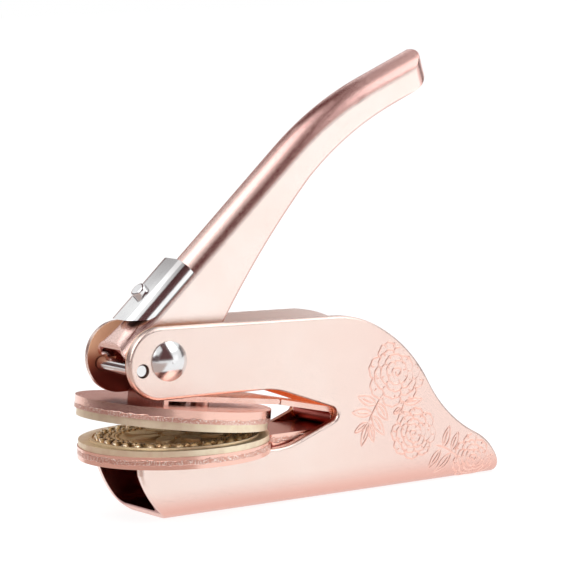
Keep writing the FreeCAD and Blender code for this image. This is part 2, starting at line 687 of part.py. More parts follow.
def round_tip(b, name, inset, edge=None):
    """Rounds the tip in plan by a half turn about an axis that leans from square to the crest's end.
    edge is the radius that rounds the end's upper edge into the crest."""
    g = size.grip_w / 2
    r = g - inset
    axis_a = size.droop_a + size.tip_lean
    axis_s = tip[0] - g * cosd(axis_a)
    axis_n = tip[1] + g * sind(axis_a)
    sk = b.newObject("Sketcher::SketchObject", name + "_wall")
    sk.AttachmentSupport = [(b.Origin.OriginFeatures[PLANE["XZ"]], "")]
    sk.MapMode = "FlatFace"
    turn = FreeCAD.Rotation(FreeCAD.Vector(0, 0, 1), -axis_a.v)
    sk.AttachmentOffset = FreeCAD.Placement(vec(axis_s.v, axis_n.v), turn)
    bind(sk, "AttachmentOffset.Base.x", axis_s)
    bind(sk, "AttachmentOffset.Base.y", axis_n)
    bind(sk, "AttachmentOffset.Rotation.Angle", -axis_a)
    if edge is None:
        rect(sk, r, -size.deep, r + wide, wide)
    else:
        lean_s, lean_c = sind(size.tip_lean), cosd(size.tip_lean)
        middle = (r - edge, -edge * (lean_s + 1) / lean_c)
        end = (middle[0] - edge * lean_s, middle[1] + edge * lean_c)
        outline(sk, (r, -size.deep), [
            line((r, middle[1])),
            arc(end, 1, c=middle, keep="x"),
            line((end[0], wide)),
            line((r + wide, wide)),
            line((r + wide, -size.deep)),
            line((r, -size.deep)),
        ])
    cut = b.newObject("PartDesign::Groove", name)
    cut.Profile = sk
    cut.ReferenceAxis = (sk, ["V_Axis"])
    cut.Angle = 180
    cut.Midplane = True
    sk.Visibility = False
    doc.recompute()


def on_crest(inset):
    """A test for edges that run along the crest at the given inset, not across it."""
    r = (size.bow_r - inset).v
    s0 = size.bend_s.v
    s1 = (bow_end[0] - inset * droop_s).v
    n1 = (bow_end[1] - inset * droop_c).v

    def height(run):
        if run < s0:
            return -inset.v
        if run < s1:
            return math.sqrt(r * r - (run - s0) ** 2) - size.bow_r.v
        return n1 - (run - s1) * (droop_s / droop_c).v

    def test(e):
        length = e.LastParameter - e.FirstParameter
        pts = [e.valueAt(e.FirstParameter + length * k) for k in (0.0, 0.5, 1.0)]
        if e.BoundBox.XLength < size.hand_t.v:
            return False
        return all(near(q.z, height(q.x), 0.02) for q in pts)

    return test


hand = body("handle_skin", *H)
s = sketch(hand, "hand_side", "XZ")
outline(s, (Z0, Z0), crest_line(Z0) + [
    line((tip[0] + droop_c - size.tip_h * droop_s, tip[1] - droop_s - size.tip_h * droop_c)),
    arc((size.heel_s, size.heel_n), -1, r=size.heel_r),
    line((size.palm_s, size.palm_n)),
    arc((size.waist_s, size.waist_n), smooth=True),
    arc(crest(size.skirt_x, size.skirt_z), 1, r=size.waist_r),
    line(around(PRESS, size.press_boss_r, size.press_back_a)),
    arc(around(PRESS, size.press_boss_r, size.press_low_a), -1, c=crest(*PRESS), keep="y"),
    line(around(PIVOT, size.boss_r, size.boss_low_a)),
    arc(around(PIVOT, size.boss_r, size.boss_front_a), -1, c=crest(*PIVOT), keep="y"),
    line(crest(size.stop_x, size.stop_z + size.stop_r + size.stop_gap)),
    line(crest(size.stop_x - size.hood_l, size.stop_z + size.stop_r + size.hood_h)),
    line((size.brow_s, size.brow_n)),
    arc((Z0, Z0), -1, r=size.brow_r),
])
p = pad(hand, "hand_block", s, wide)
s = sketch(hand, "hand_plan", "XY")
rect(s, -wide, -wide, size.tip_s + wide, wide)
flanks(s, Z0, -size.ahead / 2)
p = pocket(hand, "hand_flanks", s, size.through)
fillet(hand, "crest_round", p, on_crest(Z0), size.crest_r)
round_tip(hand, "hand_tip", Z0, size.tip_round)

wall = size.hand_t
core = body("handle_core", *H)
s = sketch(core, "core_side", "XZ")
outline(s, (-size.ahead, -wall), crest_line(wall) + [
    line((tip[0], -size.deep)),
    line((-size.ahead, -size.deep)),
    line((-size.ahead, -wall)),
])
p = pad(core, "core_block", s, wide)
s = sketch(core, "core_plan", "XY")
rect(s, -wide, -wide, size.tip_s + wide, wide)
flanks(s, wall, -size.ahead - wall)
p = pocket(core, "core_flanks", s, size.through)
fillet(core, "core_round", p, on_crest(wall), size.crest_r - wall)
round_tip(core, "core_tip", wall)

# cutters for the pivot sleeve, the presser pin and the clip's slot


def cyl_y(name, x, z, r, length):
    c = doc.addObject("Part::Cylinder", name)
    bind(c, "Radius", r)
    bind(c, "Height", length)
    c.Placement = FreeCAD.Placement(FreeCAD.Vector(x.v, 0, z.v), FreeCAD.Rotation(FreeCAD.Vector(1, 0, 0), -90))
    bind(c, "Placement.Base.x", x)
    bind(c, "Placement.Base.y", -length / 2)
    bind(c, "Placement.Base.z", z)
    return c


sleeve_r = size.axle_r + size.axle_gap + size.sleeve_t
sleeve_hole = cyl_y("sleeve_hole", *PIVOT, sleeve_r, wide)
presser_hole = cyl_y("presser_hole", *PRESS, size.press_pin_r, wide)


def round_slot(sk, start, end, r):
    """A slot along s with round ends of radius r about start and end."""
    outline(sk, (start, -r), [
        line((end, -r)),
        arc((end, r), 1, c=(end, Z0), keep="x"),
        line((start, r)),
        arc((start, -r), 1, c=(start, Z0), keep="x"),
    ])


slot = body("clip_slot", *H)
s = sketch(slot, "slot_plan", "XY", -size.slot_deep)
round_slot(s, size.button_s, size.button_s + size.clip_travel, size.shank_r + size.slot_gap)
p = pad(slot, "slot_block", s, size.slot_deep * 2, both=False)
handle_tools = doc.addObject("Part::MultiFuse", "handle_tools")
handle_tools.Shapes = [core, sleeve_hole, presser_hole, slot]
doc.recompute()
handle = doc.addObject("Part::Cut", "handle_shell")
handle.Base = hand
handle.Tool = handle_tools
handle.Label = "handle_shell"
doc.recompute()

# ---------------------------------------------------------------- sleeve through both flanges, presser pin, roller
sleeve = turned("pivot_sleeve", *PIVOT)
s = sketch(sleeve, "sleeve_half", "XY")
sleeve_y = ci - size.side_gap
rect(s, size.axle_r + size.axle_gap, -sleeve_y, sleeve_r, sleeve_y)
revolve(sleeve, "sleeve_turned", s)

presser = turned("presser_pin", *PRESS)
s = sketch(presser, "presser_half", "XY")
presser_y = size.mouth_w / 2 - size.press_pin_in
rect(s, Z0, -presser_y, size.press_pin_r, presser_y)
revolve(presser, "presser_turned", s)

roll = turned("press_roller", *PRESS)
s = sketch(roll, "roller_half", "XY")
roll_y = size.grip_w / 2 - wall - size.side_gap
bore_r = size.press_pin_r + size.press_gap
bevel = size.press_bevel
outline(s, (bore_r, -roll_y), [
    line((size.press_r - bevel, -roll_y)),
    line((size.press_r, bevel - roll_y)),
    line((size.press_r, roll_y - bevel)),
    line((size.press_r - bevel, roll_y)),
    line((bore_r, roll_y)),
    line((bore_r, -roll_y)),
])
revolve(roll, "roller_turned", s)

# ---------------------------------------------------------------- lock clip that slides along the crest
def clip_block(name, inset, below, width, over):
    """The clip's side profile: flat along the crest, with a nose that slants back at the front. It is
    moved inwards by inset, lengthened by over and taken down by below."""
    b = body(name, *H)
    sk = sketch(b, name + "_side", "XZ")
    front = size.clip_s - over
    back = size.clip_end + over
    top = size.clip_n - inset
    low_n = size.clip_low - below
    outline(sk, (front, top), [
        line((back, top)),
        line((back, low_n)),
        line((front + size.flange_l, low_n)),
        line((front + size.nose_l, size.clip_n - size.nose_h)),
        line((front, top)),
    ])
    return b, pad(b, name + "_block", sk, width)


def along_top(n):
    """A test for the long edges at height n."""
    return lambda e: near(e.BoundBox.ZMin, n.v) and near(e.BoundBox.ZMax, n.v) and e.BoundBox.XLength > size.clip_w.v


sheet_in = size.clip_t
outer, p = clip_block("clip_skin", Z0, Z0, size.clip_w, Z0)
fillet(outer, "clip_round", p, along_top(size.clip_n), size.clip_r)
inner, p = clip_block("clip_core", sheet_in, sheet_in, size.clip_w - sheet_in * 2, size.nose_l)
fillet(inner, "clip_core_round", p, along_top(size.clip_n - sheet_in), size.clip_r - sheet_in)
hole = body("clip_hole", *H)
s = sketch(hole, "clip_hole_plan", "XY")
circle(s, size.button_s, Z0, size.shank_r)
pad(hole, "clip_hole_block", s, size.clip_w)
clip_tools = doc.addObject("Part::MultiFuse", "clip_tools")
clip_tools.Shapes = [inner, hole]
doc.recompute()
clip = doc.addObject("Part::Cut", "lock_clip")
clip.Base = outer
clip.Tool = clip_tools
clip.Label = "lock_clip"
doc.recompute()

button = body("clip_button", *H)
s = sketch(button, "button_head", "XY", size.clip_n)
circle(s, size.button_s, Z0, size.button_r)
p = pad(button, "button_head_pad", s, size.button_h, both=False)
s = sketch(button, "button_shank", "XY", size.shank_low)
circle(s, size.button_s, Z0, size.shank_r)
p = pad(button, "button_shank_pad", s, size.clip_n - size.shank_low, both=False)
button_top = (size.clip_n + size.button_h).v
p = fillet(button, "button_round", p, lambda e: e.Closed and near(e.BoundBox.ZMin, button_top)
           and e.BoundBox.XLength > size.button_r.v, size.button_round)

slider = body("clip_slider", *H)
s = sketch(slider, "slider_plan", "XY", size.slider_n)
rect(s, size.button_s - size.slider_front, -size.slider_y, size.button_s + size.slider_back, size.slider_y)
circle(s, size.button_s, Z0, size.shank_r)
p = pad(slider, "slider_block", s, size.clip_n - size.clip_t - size.slider_n, both=False)

washer = body("clip_washer", *H)
s = sketch(washer, "washer_plan", "XY", size.washer_n)
circle(s, size.button_s, Z0, size.washer_r)
circle(s, size.button_s, Z0, size.shank_r)
p = pad(washer, "washer_block", s, size.washer_t, both=False)

doc.recompute()

# ---------------------------------------------------------------- check and export
NODES = ["body_shell", "pivot_axle", "pivot_cap", "stop_pin", "rest_bar", "lower_holder", "lower_die",
         "lower_die_screw", "arm_root", "foot_rivet_near", "foot_rivet_far", "upper_disc", "upper_die",
         "upper_die_screw", "upper_arm", "disc_rivet_near", "disc_rivet_far", "handle_shell", "pivot_sleeve",
         "presser_pin", "press_roller", "lock_clip", "clip_button", "clip_slider", "clip_washer"]
bad = []
for o in doc.Objects:
    if "Invalid" in o.State or "Error" in o.State:
        bad.append("%s %s" % (o.Label, o.State))
for n in NODES:
    o = doc.getObjectsByLabel(n)[0]
    sh = o.Shape
    if sh.isNull():
        bad.append("%s has no shape" % n)
        continue
    if not sh.isValid() or len(sh.Solids) != 1:
        bad.append("%s solids %d valid %s" % (n, len(sh.Solids), sh.isValid()))
    bb = sh.BoundBox
    print("%-16s vol %9.2f  x %7.2f %7.2f  y %6.2f %6.2f  z %6.2f %7.2f" % (
        n, sh.Volume, bb.XMin, bb.XMax, bb.YMin, bb.YMax, bb.ZMin, bb.ZMax))
    sh.exportStep("parts/%s.step" % n)
print("flexing line", round(flex_x.v, 4), round(flex_z.v, 4))
if bad:
    raise RuntimeError("; ".join(bad))
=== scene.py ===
"""Hand seal embosser in rose gold: finishes, engraving, die relief, studio and camera."""
import math

import bpy
import numpy as np
from mathutils import Matrix, Vector


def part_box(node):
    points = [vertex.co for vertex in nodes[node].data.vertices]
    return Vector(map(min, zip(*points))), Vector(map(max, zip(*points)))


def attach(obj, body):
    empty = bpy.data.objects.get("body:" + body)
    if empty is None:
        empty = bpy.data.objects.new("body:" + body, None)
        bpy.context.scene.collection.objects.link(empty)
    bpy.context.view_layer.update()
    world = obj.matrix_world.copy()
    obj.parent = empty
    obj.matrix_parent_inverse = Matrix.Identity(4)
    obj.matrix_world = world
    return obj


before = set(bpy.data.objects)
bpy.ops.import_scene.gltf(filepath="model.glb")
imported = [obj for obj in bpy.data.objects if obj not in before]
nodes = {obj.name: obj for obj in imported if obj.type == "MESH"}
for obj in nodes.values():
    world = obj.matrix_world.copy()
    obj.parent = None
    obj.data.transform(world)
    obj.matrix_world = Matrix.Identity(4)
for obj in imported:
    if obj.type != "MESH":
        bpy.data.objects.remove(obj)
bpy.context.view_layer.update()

MM = 0.001

# ------------------------------------------------------------------ shader maths


class Sock:
    """A node socket that takes part in arithmetic; every operation adds a Math node."""

    def __init__(self, tree, link):
        self.tree = tree
        self.link = link

    def math(self, operation, *others):
        return self.tree.node("ShaderNodeMath", {"operation": operation}, [self, *others])

    def __add__(self, o):
        return self.math("ADD", o)

    def __sub__(self, o):
        return self.math("SUBTRACT", o)

    def __mul__(self, o):
        return self.math("MULTIPLY", o)

    def __truediv__(self, o):
        return self.math("DIVIDE", o)

    def __rsub__(self, o):
        return self.tree.node("ShaderNodeMath", {"operation": "SUBTRACT"}, [o, self])

    __radd__ = __add__
    __rmul__ = __mul__

    def abs(self):
        return self.math("ABSOLUTE")

    def sqrt(self):
        return self.math("SQRT")

    def low(self, o):
        return self.math("MINIMUM", o)

    def high(self, o):
        return self.math("MAXIMUM", o)

    def step(self, start, end):
        """0 below start, 1 above end, smooth between; also falls where start is above end."""
        if start > end:
            return 1.0 - self.step(end, start)
        settings = {"interpolation_type": "SMOOTHSTEP"}
        values = {"Value": self, "From Min": start, "From Max": end}
        return self.tree.node("ShaderNodeMapRange", settings, values)

    def step_mm(self, start, end):
        """The same step, with its limits in millimetres."""
        return self.step(start * MM, end * MM)


class Tree:
    """A node tree under construction."""

    def __init__(self, owner):
        owner.use_nodes = True
        self.tree = owner.node_tree
        self.tree.nodes.clear()

    def node(self, kind, settings=None, values=None, out=0):
        """A node of a type: its settings first, then the values or links of its sockets."""
        n = self.tree.nodes.new(kind)
        for key, value in (settings or {}).items():
            setattr(n, key, value)
        pairs = values.items() if isinstance(values, dict) else enumerate(values or [])
        for key, value in pairs:
            if isinstance(value, Sock):
                self.tree.links.new(value.link, n.inputs[key])
            elif isinstance(value, tuple) and n.inputs[key].type == "RGBA":
                n.inputs[key].default_value = (*value, 1.0)
            else:
                n.inputs[key].default_value = value
        return Sock(self, n.outputs[out]) if n.outputs else None

    def place(self):
        """Where a point lies on the part, in metres."""
        return self.node("ShaderNodeTexCoord", out="Object")

    def mapped(self, vector, **values):
        """A place moved by Location, turned by Rotation or stretched by Scale."""
        return self.node("ShaderNodeMapping", {}, {"Vector": vector, **values})

    def axes(self, vector):
        """The three parts of a vector."""
        n = self.tree.nodes.new("ShaderNodeSeparateXYZ")
        self.tree.links.new(vector.link, n.inputs[0])
        return [Sock(self, o) for o in n.outputs]

    def noise(self, vector, scale, detail=2.0, rough=0.5):
        """A noise of so many bumps to the metre."""
        values = {"Vector": vector, "Scale": scale, "Detail": detail, "Roughness": rough}
        return self.node("ShaderNodeTexNoise", {}, values)

    def mix(self, factor, a, b):
        """Colour a where factor is 0 and colour b where it is 1."""
        return self.node("ShaderNodeMix", {"data_type": "RGBA"}, {0: factor, 6: a, 7: b}, out=2)

    def bump(self, height, distance):
        """The normal over a height from 0 to 1 that stands for so many metres."""
        return self.node("ShaderNodeBump", {}, {"Height": height, "Distance": distance})

    def surface(self, values):
        """The Principled shader with these sockets, as the material's surface."""
        shader = self.node("ShaderNodeBsdfPrincipled", {}, values)
        self.node("ShaderNodeOutputMaterial", {}, {"Surface": shader})

    def metal(self, colour, rough, normal):
        """A bare or plated metal as the material's surface."""
        self.surface({"Base Color": colour, "Metallic": 1.0, "Roughness": rough, "Normal": normal})


def new_material(name):
    """A new material and its empty node tree."""
    material = bpy.data.materials.new(name)
    return material, Tree(material)


# ------------------------------------------------------------------ the part's own sizes, in millimetres

HALF = (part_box("body_shell")[1] / MM).y  # the body's half width
BEND = 4.0  # outer radius of the floor's bends
WALL = 2.0  # the body's sheet
DISC_X = -31.45  # middle of the lower plate and die
LOWER_Z = 13.1  # underside of the lower plate
UP_X, UP_Z = -31.6, 22.36  # centre of the upper plate's underside
PLATE_TILT = math.radians(7.5)
PLATE_EDGE = 21.6, 21.9  # radii between which a plate's face turns into its rim
DIE_FACE = 17.25  # ground of the lower die's figures
FIELD_R = 19.4  # radius of that ground
CREST_X, CREST_Z = -47.55, 40.4  # front end of the handle's straight crest
CREST_TILT = math.radians(41.5)
MOUTH_W, GRIP_W, FLARE_L = 4.7, 3.0, 9.0  # half widths of the handle's hollow, and the length between
WAIST_S, WAIST_N, PALM_S = 61.4, -9.4, 63.9  # the flank's lower edge, along the crest and over it
EDGE_SLOPE, EDGE_RISE, EDGE_FALL = 0.086, 406.0, 155.8  # and the slope and spreads of its parabolas
STOP_X, STOP_Z = -45.0, 34.4  # the stop pin's axis

# ------------------------------------------------------------------ colours of the finishes

ROSE = (0.905, 0.750, 0.685)
ROSE_WAVE = (0.895, 0.725, 0.655)
# Painted shade: the body darker and warmer towards the tail.
ROSE_TAIL_SHADE = (0.870, 0.660, 0.595)
# Painted shade round the floor's bends.
ROSE_BEND_SHADE = (0.80, 0.47, 0.40)
# Inside the channel: the palest colour is painted light near the top; the orange and red ones are painted
# shade.
ROSE_INSIDE_LIT = (0.99, 0.90, 0.86)
ROSE_SHADE = (1.00, 0.62, 0.40)
ROSE_THROAT_SHADE = (0.98, 0.45, 0.23)
ROSE_DEEP_SHADE = (0.92, 0.56, 0.55)
# Painted shade: dark red on the sheet's edge at the throat's apex.
APEX_SHADE = (0.60, 0.22, 0.14)
# Painted shade: dark red low on the front lobes' inner sides.
LOBE_SHADE_RED = (0.60, 0.22, 0.13)
LOBE_SHADE_DARK = (0.32, 0.08, 0.06)
# Painted highlight: the handle's flanks paler than the plate.
FLANK_HIGHLIGHT = (0.915, 0.790, 0.735)
# Painted shade: the handle's crest redder, most of all at the grip.
CREST_SHADE = (0.92, 0.67, 0.61)
GRIP_SHADE = (0.90, 0.57, 0.52)
# Painted shade in the handle's hollow.
HOLLOW_SHADE = (0.36, 0.10, 0.08)
# Painted shade along the handle flank's lower edge.
FLANK_EDGE_SHADE = (0.60, 0.34, 0.30)
STRIP_PALE, STRIP_WARM = (0.90, 0.64, 0.56), (0.85, 0.56, 0.48)
# Painted shade at the strip's root between the walls.
STRIP_ROOT_SHADE = (0.42, 0.11, 0.09)
RIVET_PALE, RIVET_WARM = (0.88, 0.58, 0.50), (0.80, 0.48, 0.40)
PLATE_FACE, PLATE_WARM = (0.90, 0.51, 0.42), (0.86, 0.46, 0.37)
PLATE_RIM = (0.90, 0.57, 0.48)
# Painted shade at the arm's root between the walls.
PLATE_ROOT_SHADE = (0.55, 0.14, 0.09)
# Torn rim: random dark tone, and bright specks that are painted glints.
TORN_DARK, TORN_GLINT = (0.72, 0.38, 0.30), (1.00, 0.86, 0.79)
LINE_WARM, LINE_PALE = (0.92, 0.55, 0.46), (0.96, 0.64, 0.55)
CHROME, CHROME_SMEAR = (0.78, 0.78, 0.785), (0.74, 0.74, 0.75)
# A dark ring painted round the stop pin's end.
PIN_SMEAR, PIN_RING = (0.72, 0.72, 0.73), (0.16, 0.12, 0.11)
# The clip's darker rear and lips are painted shade.
CLIP_BRIGHT, CLIP_REAR_SHADE, CLIP_LIP_SHADE = (0.84, 0.84, 0.84), (0.24, 0.22, 0.22), (0.13, 0.11, 0.10)
STEEL, STEEL_STAIN = (0.58, 0.57, 0.56), (0.48, 0.47, 0.46)
BRASS, BRASS_TARNISH = (0.93, 0.82, 0.62), (0.87, 0.73, 0.55)
BRASS_GROUND = (0.76, 0.50, 0.28)
# The figures' brighter tops are a painted highlight.
FIGURE_FLANK, FIGURE_TOP_HIGHLIGHT = (0.78, 0.55, 0.33), (0.97, 0.86, 0.68)
NYLON, NYLON_WARM = (0.86, 0.85, 0.82), (0.80, 0.79, 0.75)

# ------------------------------------------------------------------ finishes

SATIN_GRAIN, SATIN_WAVES, SATIN_DEPTH = 9000.0, 90.0, 0.00006
SMEAR, POLISH, SMEAR_DEPTH = 240.0, 6000.0, 0.00001
RAGGED_DEPTH = 0.0012  # how far the torn band's limits wander, in metres
TORN_EDGE = 0.15  # how softly they fade, in mm
# Where a noise turns one colour into the other.
EVEN, SMEARED, SPOTTED = (0.3, 0.7), (0.35, 0.75), (0.35, 0.7)
# The channel's inner side from the top down, and the front lobes' over it: limits in mm, and colour. These
# bands are painted shade.
WALL_BANDS = [((34.0, 24.0), ROSE_THROAT_SHADE), ((18.0, 11.0), ROSE_DEEP_SHADE)]
LOBE_BANDS = [((39.0, 34.5), LOBE_SHADE_RED), ((35.5, 31.5), LOBE_SHADE_DARK)]


def satin_noise(t, place):
    """The fine grain of bead-blasted and plated sheet, and the slow waves under it."""
    return t.noise(place, SATIN_GRAIN, 3.0, 0.6), t.noise(place, SATIN_WAVES)


def satin_normal(t, grain, waves, amount):
    """The normal over the grain and the waves, for so much of the satin's depth."""
    return t.bump(grain * 0.6 + waves * 0.4, SATIN_DEPTH * amount)


def off_axis(u, v):
    """How far a place is from an axis, from its two distances across it: the root of their squares' sum."""
    return (u * u + v * v).sqrt()


def rose_body():
    """Rose gold plate on the bent body: satin outside, with painted shade that makes it darker and warmer
    towards the tail and round the floor, and dark red painted shade on the sheet's edge at the throat's
    apex. The inner side is painted paler towards the top as painted light, and redder with depth as painted
    shade, dark red low on the front lobes; it is also duller towards the top."""
    material, t = new_material("rose_gold_body")
    place = t.place()
    x, y, z = t.axes(place)
    off = y.abs()
    grain, waves = satin_noise(t, place)
    colour = t.mix(waves.step(*EVEN), ROSE, ROSE_WAVE)
    # Painted shade: darker and warmer towards the tail and round the floor's bends.
    tail, bend = x.step_mm(-5.0, 32.0), z.step_mm(7.5, 1.0)
    colour = t.mix(bend, t.mix(tail, colour, ROSE_TAIL_SHADE), ROSE_BEND_SHADE)
    # Painted shade: dark red on the sheet's edge at the throat's apex.
    apex = x.step_mm(-4.0, 3.0) * x.step_mm(9.0, 8.0) * z.step_mm(14.0, 15.0)
    apex = apex * z.step_mm(24.0, 22.0) * off.step_mm(9.9, 9.5)
    colour = t.mix(apex, colour, APEX_SHADE)
    # Inside: painted light near the top, painted shade below it and low in the front lobes.
    lobe = x.step_mm(-20.0, -27.0)
    inside_light_shade = t.mix(z.step_mm(40.0, 34.0).high(lobe), ROSE_INSIDE_LIT, ROSE_SHADE)
    for limits, tint in WALL_BANDS:
        inside_light_shade = t.mix(z.step_mm(*limits), inside_light_shade, tint)
    for limits, tint in LOBE_BANDS:
        inside_light_shade = t.mix(lobe * z.step_mm(*limits), inside_light_shade, tint)
    inner = HALF - WALL
    inside = off.step_mm(inner + 0.35, inner + 0.15) * z.step_mm(1.2, 1.8)
    t.surface({"Base Color": t.mix(inside, colour, inside_light_shade),
               "Metallic": 1.0 - inside * z.step_mm(35.0, 38.0) * 0.7,
               "Roughness": 0.22 + grain * 0.06 + inside * z.step_mm(24.0, 36.0) * 0.38,
               "Normal": satin_normal(t, grain, waves, 1.0)})
    return material


def crest_axes(x, z):
    """How far a place lies along the handle's straight crest and above it, in metres."""
    ahead, over = x - CREST_X * MM, z - CREST_Z * MM
    along = ahead * math.cos(CREST_TILT) + over * math.sin(CREST_TILT)
    return along, over * math.cos(CREST_TILT) - ahead * math.sin(CREST_TILT)


def lower_edge(along):
    """How far over the crest the flank's lower edge runs, for a place along the crest, both in mm: a
    parabola up to the waist and another one down from there to the palm."""
    rise = (along - WAIST_S).low(0.0)
    fall = (along - PALM_S).high(0.0)
    return WAIST_N + rise * EDGE_SLOPE - rise * rise / EDGE_RISE - fall * fall / EDGE_FALL


def rose_handle():
    """Rose gold plate on the drawn handle: flanks painted pale as a painted highlight, with a dark line of
    painted shade along their lower edge, a crest painted redder as painted shade, most of all at the grip,
    and painted shade in the dark hollow behind the front mouth."""
    material, t = new_material("rose_gold_handle")
    place = t.place()
    x, y, z = t.axes(place)
    along, above = crest_axes(x, z)
    off = y.abs()
    grain, waves = satin_noise(t, place)
    # Painted highlight: the flanks paler, except low at the front.
    front_flank = above.step_mm(-9.0, -20.0) * along.step_mm(66.0, 50.0)
    flank = t.mix(front_flank, FLANK_HIGHLIGHT, ROSE)
    colour = t.mix(waves.step(*EVEN) * 0.5, flank, ROSE_WAVE)
    # Painted shade: the crest redder, most of all at the grip.
    crest = off.step_mm(4.3, 4.2).high(x.step_mm(-35.0, -40.0))
    colour = t.mix(crest, colour, t.mix(x.step_mm(-22.0, 4.0), CREST_SHADE, GRIP_SHADE))
    flare = (MOUTH_W - GRIP_W) / FLARE_L
    wall = MOUTH_W * MM - (along * flare).low((MOUTH_W - GRIP_W) * MM).high(0.0)
    # Painted shade in the hollow behind the front mouth.
    hollow = (wall - off).step_mm(0.0, 0.1) * above.step_mm(-1.25, -1.4) * along.step_mm(26.0, 22.0)
    colour = t.mix(hollow, colour, HOLLOW_SHADE)
    # Painted shade: a dark line along the flank's lower edge.
    run, gap = along / MM, above / MM - lower_edge(along / MM)
    line = gap.step(0.5, 0.15) * run.step(20.0, 22.0) * run.step(97.0, 95.0)
    colour = t.mix(line * 0.8, colour, FLANK_EDGE_SHADE)
    t.metal(colour, 0.12 + grain * 0.05, satin_normal(t, grain, waves, 0.8))
    return material


def rose_strip():
    """Rose gold plate on the spring strips and the rest bar, with faint rolling lines along them and
    painted shade that darkens the root where the strip bends down between the walls."""
    material, t = new_material("rose_gold_strip")
    place = t.place()
    _, y, z = t.axes(place)
    lines = t.noise(t.mapped(place, Scale=(300.0, 9000.0, 9000.0)), 1.0)
    colour = t.mix(t.noise(place, 160.0).step(*SPOTTED), STRIP_PALE, STRIP_WARM)
    # Painted shade at the root where the strip bends down between the walls.
    root = z.step_mm(21.0, 20.2) * y.abs().step_mm(7.9, 7.7)
    colour = t.mix(root, colour, STRIP_ROOT_SHADE)
    t.metal(colour, 0.22 + lines * 0.1, t.bump(lines, 0.00002))
    return material


def rose_rivet():
    """Rose gold plate on the rivets: dull, with the faint dimples of the riveting tool."""
    material, t = new_material("rose_gold_rivet")
    dimples = t.noise(t.place(), 1800.0)
    colour = t.mix(dimples.step(*EVEN), RIVET_PALE, RIVET_WARM)
    t.metal(colour, 0.40 + dimples * 0.08, t.bump(dimples, 0.00004))
    return material


def rose_plate(name, centre, tilt, torn_from, torn_to):
    """A blanked round plate: plated faces, with painted shade at the arm's root between the walls, and a
    rim that is torn where the blank sheared, between two heights in mm from its underside; the torn band
    has random dark specks, and bright ones that are painted glints."""
    material, t = new_material(name)
    place = t.place()
    moved = t.mapped(place, Location=tuple(-c * MM for c in centre))
    local = t.mapped(moved, Rotation=(0.0, -tilt, 0.0))
    x, y, z = t.axes(local)
    rim = off_axis(x, y).step_mm(*PLATE_EDGE)
    ragged = z - (t.noise(place, 420.0, 4.0, 0.65) - 0.5) * RAGGED_DEPTH
    torn = ragged.step_mm(torn_from, torn_from + TORN_EDGE)
    torn = torn * ragged.step_mm(torn_to, torn_to - TORN_EDGE) * rim
    tears = t.noise(t.mapped(local, Scale=(3400.0, 3400.0, 2600.0)), 1.0, 3.0, 0.6)
    grain, waves = satin_noise(t, place)
    colour = t.mix(rim, t.mix(waves.step(*EVEN), PLATE_FACE, PLATE_WARM), PLATE_RIM)
    # The torn band: random dark tone, and bright specks that are painted glints.
    colour = t.mix(torn, colour, t.mix(tears.step(0.50, 0.60), TORN_DARK, TORN_GLINT))
    # Painted shade at the arm's root between the walls.
    ahead, _, height = t.axes(place)
    root = ahead.step_mm(-3.0, 5.0) * height.step_mm(15.5, 15.7)
    colour = t.mix(root, colour, PLATE_ROOT_SHADE)
    t.metal(colour, 0.18 + torn * 0.2, t.bump(tears * torn * 0.9 + grain * 0.05, 0.00012))
    return material


def chrome_smear(t, place):
    """The faint smear on chrome plate, and the normal over it and its fine polish."""
    smear = t.noise(place, SMEAR, 3.0)
    return smear, t.bump(smear * 0.3 + t.noise(place, POLISH) * 0.1, SMEAR_DEPTH)


def chrome(name, polish):
    """Bright chrome plate with a faint smear; polish is its least roughness."""
    material, t = new_material(name)
    smear, normal = chrome_smear(t, t.place())
    t.metal(t.mix(smear.step(*SMEARED), CHROME, CHROME_SMEAR), polish + smear * 0.05, normal)
    return material


def stop_chrome():
    """Chrome plate on the stop pin, with a dark ring painted round its end."""
    material, t = new_material("chrome_stop_pin")
    place = t.place()
    x, y, z = t.axes(place)
    smear = t.noise(place, SMEAR, 3.0)
    colour = t.mix(smear.step(*SMEARED), CHROME, PIN_SMEAR)
    ends = y.abs().step_mm(HALF - 3.0, HALF - 2.6)
    # A dark ring painted round the pin's end.
    ring = off_axis(x - STOP_X * MM, z - STOP_Z * MM).step_mm(1.15, 1.3) * ends
    t.metal(t.mix(ring, colour, PIN_RING), 0.16 + smear * 0.06, t.bump(smear, SMEAR_DEPTH))
    return material


def clip_chrome():
    """Chrome plate on the lock clip, with painted shade that darkens it towards its rear end, its far
    shoulder and the lips.
    """
    material, t = new_material("chrome_clip")
    place = t.place()
    x, y, z = t.axes(place)
    along, above = crest_axes(x, z)
    smear, normal = chrome_smear(t, place)
    colour = t.mix(smear.step(*SMEARED), CLIP_BRIGHT, CHROME)
    # Painted shade towards the clip's rear end.
    rear = along.step_mm(11.0, 24.0) * above.step_mm(-1.0, 0.5)
    colour = t.mix(rear * 0.7, colour, CLIP_REAR_SHADE)
    # Painted shade on the far shoulder and the lips.
    lip = y.step_mm(2.7, 3.3).high(above.step_mm(-2.1, -2.35))
    t.metal(t.mix(lip * 0.85, colour, CLIP_LIP_SHADE), 0.13 + smear * 0.06, normal)
    return material


def turned_steel():
    """Plain turned steel of pins, rivets and screws."""
    material, t = new_material("turned_steel")
    place = t.place()
    rings = t.noise(place, 3200.0, 3.0)
    colour = t.mix(t.noise(place, 300.0).step(*EVEN), STEEL, STEEL_STAIN)
    t.metal(colour, 0.24 + rings * 0.12, t.bump(rings, 0.00003))
    return material


